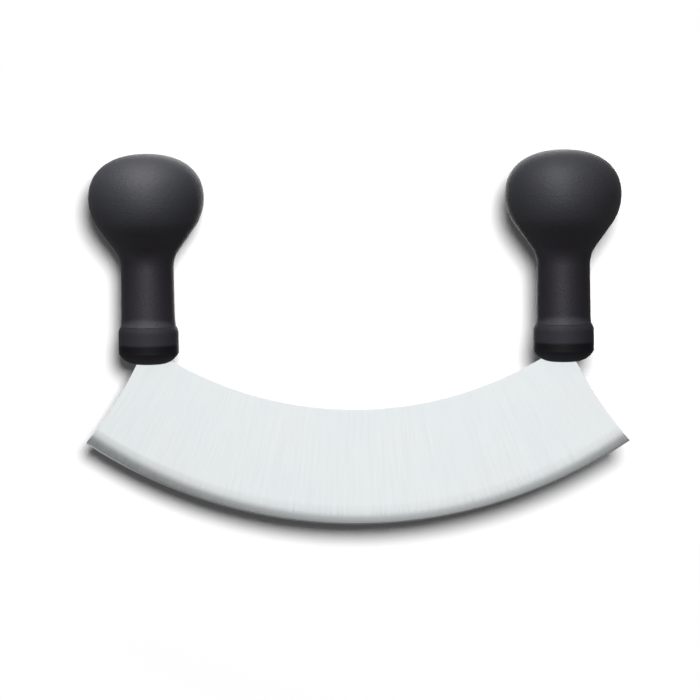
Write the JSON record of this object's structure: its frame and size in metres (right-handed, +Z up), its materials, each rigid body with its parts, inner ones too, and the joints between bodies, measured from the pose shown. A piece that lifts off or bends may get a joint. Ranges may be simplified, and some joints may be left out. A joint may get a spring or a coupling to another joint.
{
  "type": "mezzaluna",
  "caption": "Crescent-bladed rocking mincing knife with a steel blade between upright black knob handles, each with a collar at its foot.",
  "frame": {"origin": "lowest point of the cutting edge, midway between the handles and in the middle of the blade's thickness", "axes": "+X along the blade from the left handle to the right one, +Y through the blade from its front face to its back face, +Z up along the handles"},
  "size_m": [0.23, 0.0484, 0.1575],
  "materials": {
    "ground_steel": "fine satin grind",
    "handle_plastic": "fine moulded grain, satin",
    "collar_plastic": "fine moulded grain above, dead matt below",
    "sleeve_plastic": "plain moulded",
    "pin_steel": "turned"
  },
  "bodies": {
    "root": {"blade": "ground_steel", "handle_left": "handle_plastic", "handle_right": "handle_plastic", "collar_left": "collar_plastic", "collar_right": "collar_plastic", "tang_sleeve_left": "sleeve_plastic", "tang_sleeve_right": "sleeve_plastic", "tang_pin_left": "pin_steel", "tang_pin_right": "pin_steel"}
  },
  "joints": []
}
